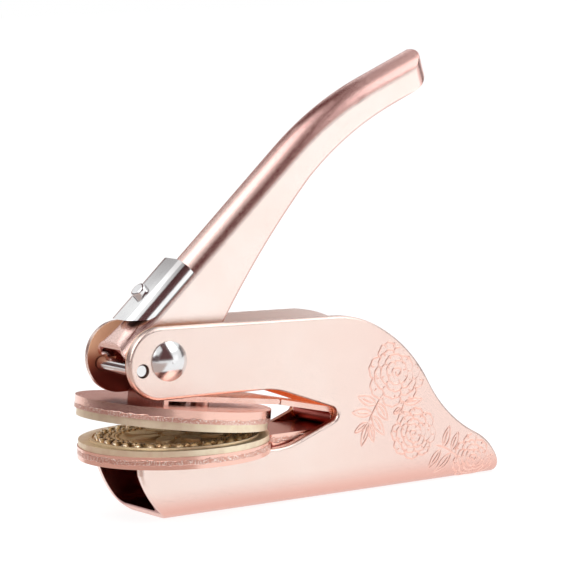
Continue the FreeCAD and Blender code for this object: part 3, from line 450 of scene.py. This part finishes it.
def die_brass(name, floor_z=None):
    """Satin brass. Where floor_z is given, the ground between the raised figures is darker."""
    material, t = new_material(name)
    place = t.place()
    turning = t.noise(t.mapped(place, Scale=(500.0, 500.0, 9000.0)), 1.0)
    tarnish = t.noise(place, 420.0, 3.0)
    colour = t.mix(tarnish.step(*SPOTTED), BRASS, BRASS_TARNISH)
    if floor_z is not None:
        x, y, z = t.axes(place)
        ground = off_axis(x - DISC_X * MM, y).step_mm(FIELD_R + 0.2, FIELD_R - 0.3)
        ground = ground * z.step_mm(floor_z + 0.3, floor_z) * z.step_mm(floor_z - 0.3, floor_z - 0.1)
        colour = t.mix(ground * 0.3, colour, BRASS_GROUND)
    t.metal(colour, 0.36 + turning * 0.12 + tarnish * 0.05, t.bump(turning, 0.00002))
    return material


def slider_nylon():
    """White nylon with a faint moulded texture."""
    material, t = new_material("white_nylon")
    grain = t.noise(t.place(), 2600.0)
    colour = t.mix(grain.step(0.2, 0.8), NYLON, NYLON_WARM)
    t.surface({"Base Color": colour, "Roughness": 0.42 + grain * 0.1, "Normal": t.bump(grain, 0.00003)})
    return material


def finish_nodes():
    """Gives every carried-over node its finish."""
    finishes = {
        rose_body(): ["body_shell"],
        rose_handle(): ["handle_shell"],
        rose_strip(): ["arm_root", "upper_arm", "rest_bar"],
        rose_rivet(): ["disc_rivet_near", "disc_rivet_far", "foot_rivet_near", "foot_rivet_far"],
        rose_plate("rose_gold_lower_plate", (DISC_X, 0.0, LOWER_Z), 0.0, 0.95, 2.15): ["lower_holder"],
        rose_plate("rose_gold_upper_plate", (UP_X, 0.0, UP_Z), PLATE_TILT, -0.5, 1.05): ["upper_disc"],
        clip_chrome(): ["lock_clip"],
        chrome("chrome_plate", 0.08): ["clip_button"],
        chrome("chrome_pins", 0.15): ["pivot_axle", "pivot_cap"],
        stop_chrome(): ["stop_pin"],
        turned_steel(): ["lower_die_screw", "upper_die_screw", "pivot_sleeve", "presser_pin",
                         "press_roller", "clip_washer"],
        die_brass("brass_lower_die", DIE_FACE): ["lower_die"],
        die_brass("brass_upper_die"): ["upper_die"],
        slider_nylon(): ["clip_slider"],
    }
    for material, names in finishes.items():
        for name in names:
            mesh = nodes[name].data
            mesh.materials.clear()
            mesh.materials.append(material)


# ------------------------------------------------------------------ surface pieces


def grid_mesh(name, points, keep=None, closed=False):
    """A mesh from surface points in rows and columns, shape (rows, columns, 3), in mm. keep marks the
    points that stay; closed joins the last column to the first."""
    rows, columns = points.shape[:2]
    index = np.arange(rows * columns).reshape(rows, columns)
    right = np.roll(index, -1, axis=1) if closed else index[:, 1:]
    left = index if closed else index[:, :-1]
    faces = np.stack([left[:-1], right[:-1], right[1:], left[1:]], axis=-1).reshape(-1, 4)
    if keep is not None:
        faces = faces[keep.reshape(-1)[faces].all(axis=1)]
    mesh = bpy.data.meshes.new(name)
    mesh.from_pydata((points.reshape(-1, 3) * MM).tolist(), [], faces.tolist())
    mesh.polygons.foreach_set("use_smooth", np.ones(len(mesh.polygons), bool))
    mesh.update()
    return mesh


def join_meshes(name, meshes, body, material):
    """One object at the origin from several meshes of four-sided faces, riding on a body."""
    verts, faces, offset = [], [], 0
    for mesh in meshes:
        co = np.zeros(len(mesh.vertices) * 3)
        mesh.vertices.foreach_get("co", co)
        verts.append(co.reshape(-1, 3))
        loops = np.zeros(len(mesh.loops), int)
        mesh.loops.foreach_get("vertex_index", loops)
        faces.append(loops.reshape(-1, 4) + offset)
        offset += len(mesh.vertices)
        bpy.data.meshes.remove(mesh)
    joined = bpy.data.meshes.new(name)
    joined.from_pydata(np.concatenate(verts).tolist(), [], np.concatenate(faces).tolist())
    joined.polygons.foreach_set("use_smooth", np.ones(len(joined.polygons), bool))
    joined.materials.append(material)
    joined.update()
    piece = bpy.data.objects.new(name, joined)
    bpy.context.scene.collection.objects.link(piece)
    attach(piece, body)


def polar(centre, radius, angle):
    """Points (n, 2) at a radius and an angle round a centre."""
    return np.stack([centre[0] + radius * np.cos(angle), centre[1] + radius * np.sin(angle)], axis=1)


# ------------------------------------------------------------------ engraving on the near cheek

LINE_W = 0.50  # a raised line's width
LINE_H = 0.105  # and its height over the skin
LINE_SINK = 0.012  # how far its sides reach below the skin
LINE_ACROSS = np.array([-1.0, -0.62, 0.0, 0.62, 1.0])  # its points across, in half widths
EDGE_GAP = 0.95  # the least distance from the cheek's rear edge
BEND_TURN = 1.45  # how far round the floor's bend a line may go, in radians
# The cheek's rear edge: ends of its straight top, then the points that its tangent arcs pass.
REAR_POINTS = [(-40.15, 43.75), (7.16, 42.0), (18.04, 39.15), (33.2, 24.1), (46.9, 10.45), (53.8, 0.0)]
# Rings of petals: share of the flower's radius, petals, and the depth of the notches between them.
PETAL_RINGS = [(1.0, 8, 0.20), (0.78, 6, 0.17), (0.57, 5, 0.18), (0.37, 4, 0.16)]
RING_SHIFT = 0.7  # how far each ring is turned from the one outside it
RUFFLE = 0.016  # the small wave on a petal's rim
BUD_SHARE, BUD_TURNS = 0.20, 1.6
FOLD_L = 0.10  # length of the fold at a notch, in flower radii
RIB_START, RIB_END, RIB_BOW = 0.95, 0.84, 0.03  # the fold in the middle of a petal
# Flowers: centre, radius, turn and random seed.
FLOWERS = [((23.9, 27.2), 8.1, 0.5, 3), ((28.2, 12.3), 6.2, 1.4, 8), ((45.6, 4.4), 6.0, 0.2, 5)]
# Sprigs: points of the stem, then the base, tip and width of each leaf.
SPRIGS = [
    ([(19.5, 22.4), (16.9, 18.9), (15.4, 16.2)],
     [((17.6, 20.4), (12.4, 22.7), 2.1), ((16.4, 18.4), (10.7, 19.1), 1.9),
      ((17.8, 20.6), (20.9, 16.1), 2.1), ((16.4, 17.8), (19.8, 12.7), 2.1),
      ((15.4, 16.2), (13.1, 10.8), 1.7), ((15.6, 16.0), (16.7, 11.4), 1.6),
      ((15.2, 16.4), (11.2, 14.2), 1.4)]),
    ([(25.6, 20.0), (25.2, 18.6), (24.8, 17.2)],
     [((25.6, 19.7), (31.0, 20.2), 1.6), ((25.2, 18.8), (22.4, 17.5), 1.2)]),
    ([(34.4, 8.8), (38.0, 7.4), (40.6, 5.2)],
     [((36.8, 7.9), (38.8, 13.0), 1.8), ((39.2, 6.9), (41.4, 11.3), 1.7),
      ((36.0, 7.6), (32.3, 3.4), 1.7), ((39.0, 6.4), (34.0, 1.9), 1.8)]),
]


def turned(points, angle):
    """Points (n, 2) turned by an angle in radians."""
    c, s = math.cos(angle), math.sin(angle)
    return points @ np.array([[c, s], [-s, c]])


def ruffled_ring(centre, radius, petals, depth, turn):
    """The closed edge of one ring of petals: the radius falls to a notch between neighbouring petals,
    by a share depth of it, a small wave runs along every petal's rim, and the whole is slightly oval."""
    a = np.linspace(0.0, 2.0 * math.pi, 24 * petals + 1)
    bulge = np.abs(np.cos(petals * (a - turn) / 2.0)) ** 0.45
    wave = RUFFLE * np.sin(3.0 * petals * (a - turn)) * bulge
    r = radius * (1.0 - depth * (1.0 - bulge) + wave)
    return polar(centre, r * (1.0 + 0.035 * np.sin(2.0 * a + turn)), a)


def crease(centre, start_r, end_r, angle, bow):
    """A short fold line that runs between two radii and bows sideways by half a sine wave."""
    u = np.linspace(0.0, 1.0, 14)
    return polar(centre, start_r + (end_r - start_r) * u, angle + bow * np.sin(u * math.pi))


def bud(centre, radius, turns, start_a):
    """The furled middle of a flower: an opening spiral with a slight wobble."""
    u = np.linspace(0.16, 1.0, 60)
    a = start_a + turns * 2.0 * math.pi * u
    return polar(centre, radius * u * (1.0 + 0.10 * np.sin(3.0 * a)), a)


def flower(centre, radius, turn, seed):
    """A full-blown flower: nested ruffled rings of petals, two fold lines to each petal, and a bud."""
    chance = np.random.default_rng(seed)
    strokes = [bud(centre, radius * BUD_SHARE, BUD_TURNS, turn)]
    for k, (share, petals, depth) in enumerate(PETAL_RINGS):
        shift = turn + RING_SHIFT * k
        strokes.append(ruffled_ring(centre, radius * share, petals, depth, shift))
        notch = radius * share * (1.0 - depth * 0.9)
        for n in range(petals):
            angle = shift + (2 * n + 1) * math.pi / petals
            bow = chance.normal(0.0, 0.05)
            strokes.append(crease(centre, notch, notch - radius * FOLD_L, angle, bow))
            middle = angle + math.pi / petals + chance.normal(0.0, 0.12)
            ends = radius * share * RIB_START, radius * share * RIB_END
            strokes.append(crease(centre, *ends, middle, RIB_BOW))
    return strokes


def leaf(base, tip, width):
    """A pointed leaf from its base to its tip: two bowed sides that meet there, and a short mid-rib."""
    base, run = np.array(base), np.array(tip) - np.array(base)
    length = math.hypot(*run)
    u = np.linspace(0.0, 1.0, 26)
    bulge = width * np.sin(u ** 0.85 * math.pi) * 0.5
    sides = [np.stack([length * u, bulge * side], axis=1) for side in (-1.0, 1.0)]
    rib = np.stack([length * (0.14 + 0.6 * u), width * 0.06 * np.sin(u * math.pi)], axis=1)
    angle = math.atan2(run[1], run[0])
    return [turned(line, angle) + base for line in (*sides, rib)]


def sprig(stem, leaves):
    """A stem with leaves: the stem is the parabola through its three points."""
    stem = np.array(stem)
    u, knots = np.linspace(0.0, 1.0, 30), np.linspace(0.0, 1.0, len(stem))
    strokes = [np.stack([np.polyval(np.polyfit(knots, stem[:, k], 2), u) for k in (0, 1)], axis=1)]
    for base, tip, width in leaves:
        strokes += leaf(base, tip, width)
    return strokes


def rear_edge():
    """The cheek's rear edge: its straight top, then a chain of tangent arcs. Each arc leaves in the
    heading that the last one ended in, and turns by twice the angle to its end point."""
    chain = REAR_POINTS
    heading = math.atan2(chain[1][1] - chain[0][1], chain[1][0] - chain[0][0])
    pieces = [np.linspace(chain[0], chain[1], 40)]
    for (ax, ay), (bx, by) in zip(chain[1:-1], chain[2:]):
        turn = math.remainder(math.atan2(by - ay, bx - ax) - heading, 2.0 * math.pi)
        radius = math.hypot(bx - ax, by - ay) / 2.0 / math.sin(turn)
        cx, cy = ax - math.sin(heading) * radius, ay + math.cos(heading) * radius
        a = math.atan2(ay - cy, ax - cx) + 2.0 * turn * np.linspace(0.0, 1.0, 60)
        pieces.append(polar((cx, cy), abs(radius), a))
        heading += 2.0 * turn
    return np.concatenate(pieces)


def inside_edge(points, edge):
    """True for points (n, 2) that lie under the rear edge by the edge gap."""
    height = np.interp(points[:, 0], edge[:, 0], edge[:, 1])
    gap = np.sqrt(((points[:, None, :] - edge[None, :, :]) ** 2).sum(axis=2)).min(axis=1)
    return (points[:, 1] < height) & (gap > EDGE_GAP)


def on_cheek(x, run, lift):
    """A point on the near cheek's skin at run above the floor's bend, lifted off the skin. Below the
    bend's start the run goes round the bend."""
    angle = np.clip((BEND - run) / BEND, 0.0, BEND_TURN)
    y = -(HALF - BEND) - (BEND + lift) * np.cos(angle)
    z = np.where(run < BEND, BEND - (BEND + lift) * np.sin(angle), run)
    return np.stack([x, y, z], axis=-1)


def ridge(points, edge):
    """A raised line along points (n, 2): its section is a parabola, and it tapers at both ends."""
    tangent = np.gradient(points, axis=0)
    tangent /= np.linalg.norm(tangent, axis=1, keepdims=True)
    across = np.stack([-tangent[:, 1], tangent[:, 0]], axis=1)
    u = np.linspace(0.0, 1.0, len(points))
    width = LINE_W / 2.0 * np.clip(np.minimum(u, 1.0 - u) * 9.0, 0.25, 1.0)
    v = LINE_ACROSS
    place = points[:, None, :] + across[:, None, :] * (width[:, None] * v)[:, :, None]
    lift = LINE_H * (1.0 - v * v) - LINE_SINK
    lift = np.broadcast_to(lift * (width / width.max())[:, None], place.shape[:2])
    keep = np.repeat(inside_edge(points, edge)[:, None], len(v), axis=1)
    return grid_mesh("stroke", on_cheek(place[..., 0], place[..., 1], lift), keep)


def rose_line():
    """The engraving's own finish: polished rose gold, a shade deeper than the satin sheet."""
    material, t = new_material("rose_gold_line")
    waves = t.noise(t.place(), 700.0)
    colour = t.mix(waves.step(*EVEN), LINE_WARM, LINE_PALE)
    t.metal(colour, 0.32 + waves * 0.08, t.bump(waves, 0.00002))
    return material


def engraving():
    """Two full flowers, a third at the tail, and leaf sprigs between them, in raised lines."""
    edge = rear_edge()
    strokes = [line for row in FLOWERS for line in flower(*row)]
    strokes += [line for row in SPRIGS for line in sprig(*row)]
    lines = [ridge(points, edge) for points in strokes]
    join_meshes("engraved_roses", lines, "frame", rose_line())


# ------------------------------------------------------------------ raised figures of the lower die

# Rings of bars: radius, bars, the share of the ring that they fill, and a bar's width and height.
BAR_RINGS = [(17.1, 34, 0.60, 1.9, 0.85), (15.0, 46, 0.5, 1.0, 0.6)]
# Rings of beads: radius, beads, and a bead's radius.
BEAD_RINGS = [(18.7, 72, 0.38), (13.0, 40, 0.52), (4.4, 14, 0.44)]


def ring_blocks(radius, count, share, width, height):
    """Short bars round a circle: each a low block with sloping sides, laid along the circle."""
    along = np.linspace(-0.5, 0.5, 5) * share
    across = np.array([-1.0, -0.8, 0.8, 1.0])
    rise = np.array([0.0, 1.0, 1.0, 1.0, 0.0])[:, None] * np.array([0.0, 1.0, 1.0, 0.0]) * height
    meshes = []
    for k in range(count):
        a = (k + along)[:, None] * 2.0 * math.pi / count
        r = radius + width / 2.0 * across
        block = np.stack([DISC_X + r * np.cos(a), r * np.sin(a), DIE_FACE + rise], axis=-1)
        meshes.append(grid_mesh("bar", block[::-1]))
    return meshes


def ring_beads(radius, count, size):
    """Round-topped beads round a circle: each is four rings of points that shrink towards its crown."""
    a = np.linspace(0.0, 2.0 * math.pi, 11)[:-1]
    rise = np.array([0.0, 0.55, 0.9, 1.0])[:, None] * 0.9
    ring = np.array([1.0, 0.9, 0.55, 0.02])[:, None]
    meshes = []
    for k in range(count):
        turn = (k + 0.5) * 2.0 * math.pi / count
        x = DISC_X + radius * math.cos(turn) + size * ring * np.cos(a)
        y = radius * math.sin(turn) + size * ring * np.sin(a)
        z = DIE_FACE + np.broadcast_to(size * rise, x.shape)
        meshes.append(grid_mesh("bead", np.stack([x, y, z], axis=-1), closed=True))
    return meshes


def relief_brass():
    """The raised figures' brass: tops painted brighter over darker flanks, a painted highlight broken up by
    noise.
    """
    material, t = new_material("brass_relief")
    place = t.place()
    # Painted highlight: the tops brighter than the flanks, broken up by noise.
    tops = t.axes(place)[2].step_mm(DIE_FACE + 0.1, DIE_FACE + 0.5)
    wear_and_sheen = t.noise(place, 1500.0)
    colour = t.mix(tops * wear_and_sheen.step(0.1, 0.5), FIGURE_FLANK, FIGURE_TOP_HIGHLIGHT)
    t.metal(colour, 0.2 + wear_and_sheen * 0.12, t.bump(wear_and_sheen, 0.00003))
    return material


def die_relief():
    """A plain border of bars with rings of beads, as embossing dies commonly carry."""
    material = relief_brass()
    bars = [mesh for row in BAR_RINGS for mesh in ring_blocks(*row)]
    beads = [mesh for row in BEAD_RINGS for mesh in ring_beads(*row)]
    join_meshes("die_bars", bars, "frame", material)
    join_meshes("die_beads", beads, "frame", material)


# ------------------------------------------------------------------ studio

MIDDLE = np.array([0.0, 0.0, 50.0])  # the middle of the tent, in mm
CARD_R = 900.0  # the tent's radius
FLOOR_SIDE = 4.0  # half the floor's side, in metres
FLOOR_DROP = 0.00005  # how far the floor lies below the part
CARD_LIFT = 0.6  # how far a lying card is above the floor
FLOOR_PLAIN, FLOOR_MATTE = (0.80, 0.79, 0.79), (0.30, 0.295, 0.295)
FLOOR_GLOW = 0.84
TENT_LIGHT = 0.62  # strength of the tent's light; the tent itself shows white
ARCH_DARK = (0.12, 0.048, 0.048)
# The arch card's angle from front to back, with its left and right edges there, in card radii.
ARCH_STOPS = np.array([(0, -0.52, 0.46), (12, -0.52, 0.43), (30, -0.46, 0.33), (42, -0.20, 0.27),
                       (60, -0.20, 0.21), (90, -0.19, 0.17), (120, -0.15, 0.25), (138, -0.10, 0.30),
                       (146, -0.04, 0.30), (156, -0.03, 0.30)])
# Cards that lie on the floor: name, near edge, far edge and colour.
LYING_CARDS = [
    ("near_floor_card", [(-20.0, -60.0), (130.0, -60.0)], [(110.0, -400.0), (330.0, -330.0)],
     (1.12, 1.12, 1.12)),
    ("far_floor_card", [(110.0, -400.0), (330.0, -330.0)], [(900.0, -2400.0), (2300.0, -1900.0)],
     (1.34, 1.34, 1.34)),
    ("left_floor_card", [(-420.0, 220.0), (-90.0, 220.0)], [(-420.0, -260.0), (-20.0, -260.0)],
     (0.62, 0.50, 0.46)),
]
# Cards that stand: name, two bearings, two heights, all in degrees, and colour.
STANDING_CARDS = [
    ("left_card", 112.0, 238.0, -3.0, 22.0, (0.12, 0.075, 0.075)),
    ("right_card", -16.0, 14.0, 0.0, 26.0, (0.20, 0.17, 0.17)),
    ("front_card", -64.0, -38.0, -2.0, 14.0, (1.32, 1.32, 1.32)),
    ("back_card", 50.0, 112.0, -5.0, 20.0, (0.42, 0.27, 0.24)),
]
# Square lamps: name, place, aim, side and power, in metres and watts.
SOFTBOXES = [
    ("left_softbox", (-0.45, 0.0, 0.83), (0.0, 0.0, 0.05), 0.7, 1.35),
    ("right_softbox", (0.45, -0.45, 0.69), (0.0, 0.0, 0.05), 0.6, 1.45),
    ("front_softbox", (-0.62, -0.33, 0.45), (-0.045, 0.0, 0.04), 0.35, 1.0),
]


def add_object(name, data):
    """A new object in the scene."""
    obj = bpy.data.objects.new(name, data)
    bpy.context.scene.collection.objects.link(obj)
    return obj


def seen_white(t):
    """1 for rays from the camera, off a mirror and through glass, and 0 for the rest."""
    outs = ("Is Camera Ray", "Is Glossy Ray", "Is Transmission Ray")
    eye, mirror, glass = (t.node("ShaderNodeLightPath", out=out) for out in outs)
    return eye.high(mirror).high(glass)


def floor():
    """A pale floor that shows white and keeps a soft shadow."""
    mesh = bpy.data.meshes.new("studio_floor")
    side = FLOOR_SIDE
    corners = [(-side, -side, 0.0), (side, -side, 0.0), (side, side, 0.0), (-side, side, 0.0)]
    mesh.from_pydata(corners, [], [(0, 1, 2, 3)])
    material, t = new_material("studio_floor")
    plain = t.node("ShaderNodeBsdfDiffuse", {}, {"Color": FLOOR_PLAIN})
    matte = t.node("ShaderNodeBsdfDiffuse", {}, {"Color": FLOOR_MATTE})
    glow = t.node("ShaderNodeEmission", {}, {"Color": (1.0, 1.0, 1.0), "Strength": FLOOR_GLOW})
    shown = t.node("ShaderNodeAddShader", {}, [matte, glow])
    surface = t.node("ShaderNodeMixShader", {}, [seen_white(t), plain, shown])
    t.node("ShaderNodeOutputMaterial", {}, {"Surface": surface})
    mesh.materials.append(material)
    obj = add_object("studio_floor", mesh)
    obj.location.z = -FLOOR_DROP


def card(name, points, colour):
    """A card beside the part that only its reflections show, from a grid of points in mm."""
    mesh = grid_mesh(name, points)
    material, t = new_material(name)
    face = t.node("ShaderNodeEmission", {}, {"Color": colour, "Strength": 1.0})
    t.node("ShaderNodeOutputMaterial", {}, {"Surface": face})
    mesh.materials.append(material)
    obj = add_object(name, mesh)
    obj.visible_camera = False
    obj.visible_diffuse = False
    obj.visible_shadow = False


def standing_card(name, turn_start, turn_end, low_edge, high_edge, colour):
    """A standing card bent round the part: a share of a cylinder between two bearings and two heights,
    all in degrees as seen from the part."""
    turn = np.radians(np.linspace(turn_start, turn_end, 25))
    rise = np.tan(np.radians(np.linspace(low_edge, high_edge, 7)))
    turn, rise = np.meshgrid(turn, rise)
    card(name, MIDDLE + CARD_R * np.stack([np.cos(turn), np.sin(turn), rise], axis=-1), colour)


def arch_card():
    """A dark card bowed over the part from front to back: an arc in the upright plane, whose side edges
    swing out and in as it goes over."""
    stop = ARCH_STOPS[:, 0]
    angle = np.linspace(stop[0], stop[-1], 60)
    left, right = (np.interp(angle, stop, ARCH_STOPS[:, k])[:, None] for k in (1, 2))
    across = left + (right - left) * np.linspace(0.0, 1.0, 7)
    reach = np.sqrt(1.0 - across ** 2)
    a = np.radians(angle)[:, None]
    place = np.stack([across, -np.cos(a) * reach, np.sin(a) * reach], axis=-1)
    card("arch_card", MIDDLE + CARD_R * place, ARCH_DARK)


def lying_card(name, near, far, colour):
    """A card that lies beside the part: a flat grid between its near and far edges, each given by two
    points in mm."""
    near, far = np.array(near), np.array(far)
    flat = near + (far - near) * np.linspace(0.0, 1.0, 9)[:, None, None]
    card(name, np.concatenate([flat, np.full(flat.shape[:2] + (1,), CARD_LIFT)], axis=2), colour)


def softbox(name, place, aim, size, power):
    """A square area lamp at a place, aimed at a point."""
    lamp = bpy.data.lights.new(name, "AREA")
    lamp.size = size
    lamp.energy = power
    obj = add_object(name, lamp)
    obj.location = place
    obj.rotation_euler = (Vector(aim) - Vector(place)).to_track_quat("-Z", "Y").to_euler()


def studio_light():
    """An even white tent with dark and pale cards in it, and three soft lamps: above the left, above
    the right, and a small one at the front."""
    world = bpy.data.worlds.new("studio")
    bpy.context.scene.world = world
    t = Tree(world)
    strength = TENT_LIGHT + seen_white(t) * (1.0 - TENT_LIGHT)
    light = t.node("ShaderNodeBackground", {}, {"Color": (1.0, 1.0, 1.0), "Strength": strength})
    t.node("ShaderNodeOutputWorld", {}, {"Surface": light})
    arch_card()
    for row in LYING_CARDS:
        lying_card(*row)
    for row in STANDING_CARDS:
        standing_card(*row)
    for row in SOFTBOXES:
        softbox(*row)


# ------------------------------------------------------------------ camera

CAMERA_AT = (-0.38339, -0.58695, 0.12990)
CAMERA_FORWARD = (0.54435912, 0.83097875, -0.11466234)
CAMERA_RIGHT = (0.83455094, -0.55030923, -0.02616251)
CAMERA_UP = (0.08484024, 0.08144976, 0.99305995)
LENS_SHARE = 3043.64 / 579.0  # the lens's focal length in frame widths
SENSOR_W = 36.0
NEAR_CLIP, FAR_CLIP = 0.01, 50.0


def camera():
    """A long lens from the front left, a little above the part."""
    data = bpy.data.cameras.new("camera")
    data.sensor_width = SENSOR_W
    data.lens = LENS_SHARE * SENSOR_W
    data.clip_start = NEAR_CLIP
    data.clip_end = FAR_CLIP
    obj = add_object("camera", data)
    turn = Matrix((CAMERA_RIGHT, CAMERA_UP, -Vector(CAMERA_FORWARD))).transposed().to_4x4()
    obj.matrix_world = Matrix.Translation(CAMERA_AT) @ turn
    bpy.context.scene.camera = obj


# ------------------------------------------------------------------ the scene

finish_nodes()
engraving()
die_relief()
floor()
studio_light()
camera()
bpy.context.scene.view_settings.view_transform = "Standard"
